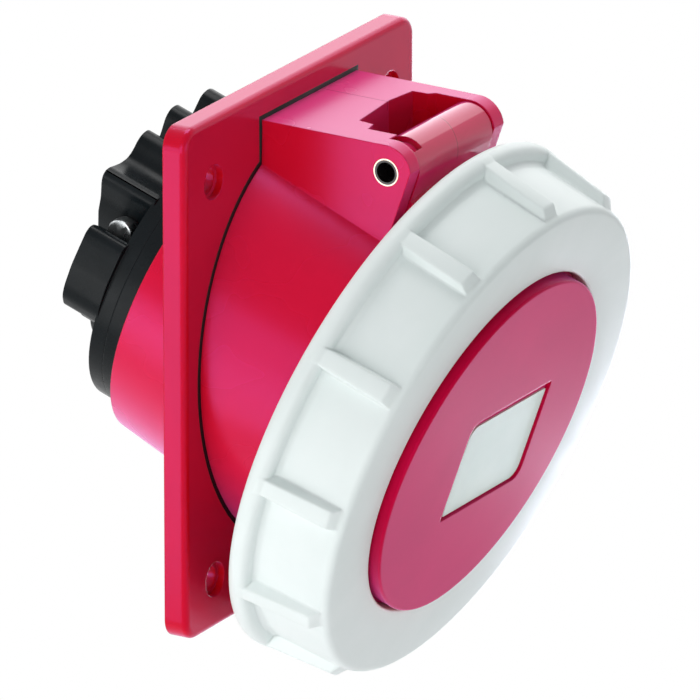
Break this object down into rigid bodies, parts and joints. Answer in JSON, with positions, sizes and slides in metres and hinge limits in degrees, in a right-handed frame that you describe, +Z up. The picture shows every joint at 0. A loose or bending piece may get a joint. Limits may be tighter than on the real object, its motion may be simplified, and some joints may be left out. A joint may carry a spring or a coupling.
{
  "type": "industrial panel socket",
  "caption": "Red angled panel-mounting industrial power socket with a hinged lid, a white bayonet locking ring and a black terminal block behind its square flange.",
  "frame": {"origin": "centre of the four mounting holes, on the rear face of the flange that lies on the panel", "axes": "+Z up, -Y out of the panel towards the person who plugs in, +Y into the panel, +X to that person's right"},
  "size_m": [0.1067, 0.1005, 0.1151],
  "materials": {
    "red_moulding": "glossy",
    "white_moulding": "semi gloss",
    "black_moulding": "satin",
    "black_rubber": "matt",
    "contact_brass": "bright",
    "steel": "zinc plated",
    "nickelled_pin": "nickel plated",
    "label_stock": "smooth"
  },
  "bodies": {
    "base": {"mounting_flange": "red_moulding", "socket_housing": "red_moulding", "seam_seal": "black_rubber", "flange_screws": "steel", "hinge_pin": "nickelled_pin", "contact_insert": "black_moulding", "insert_o_ring": "black_rubber", "insert_retainer": "black_moulding", "terminal_block": "black_moulding", "terminal_screws": "steel", "centre_screw": "steel", "contact_l1": "contact_brass", "contact_l2": "contact_brass", "contact_l3": "contact_brass", "contact_neutral": "contact_brass", "contact_earth": "contact_brass"},
    "lid": {"lid": "red_moulding", "lid_gasket": "black_rubber", "label_plate": "label_stock"},
    "ring": {"bayonet_ring": "white_moulding"}
  },
  "joints": [
    {"name": "lid_hinge", "type": "hinge", "parent": "base", "child": "lid", "pos_m": [0.00225, -0.0315, 0.04049], "axis": [-1, 0, 0], "range_deg": [0, 108]},
    {"name": "ring_turn", "type": "hinge", "parent": "lid", "child": "ring", "pos_m": [0.00225, -0.0048, -0.0024], "axis": [0, 0.9426, 0.3338], "range_deg": [0, 36]}
  ]
}
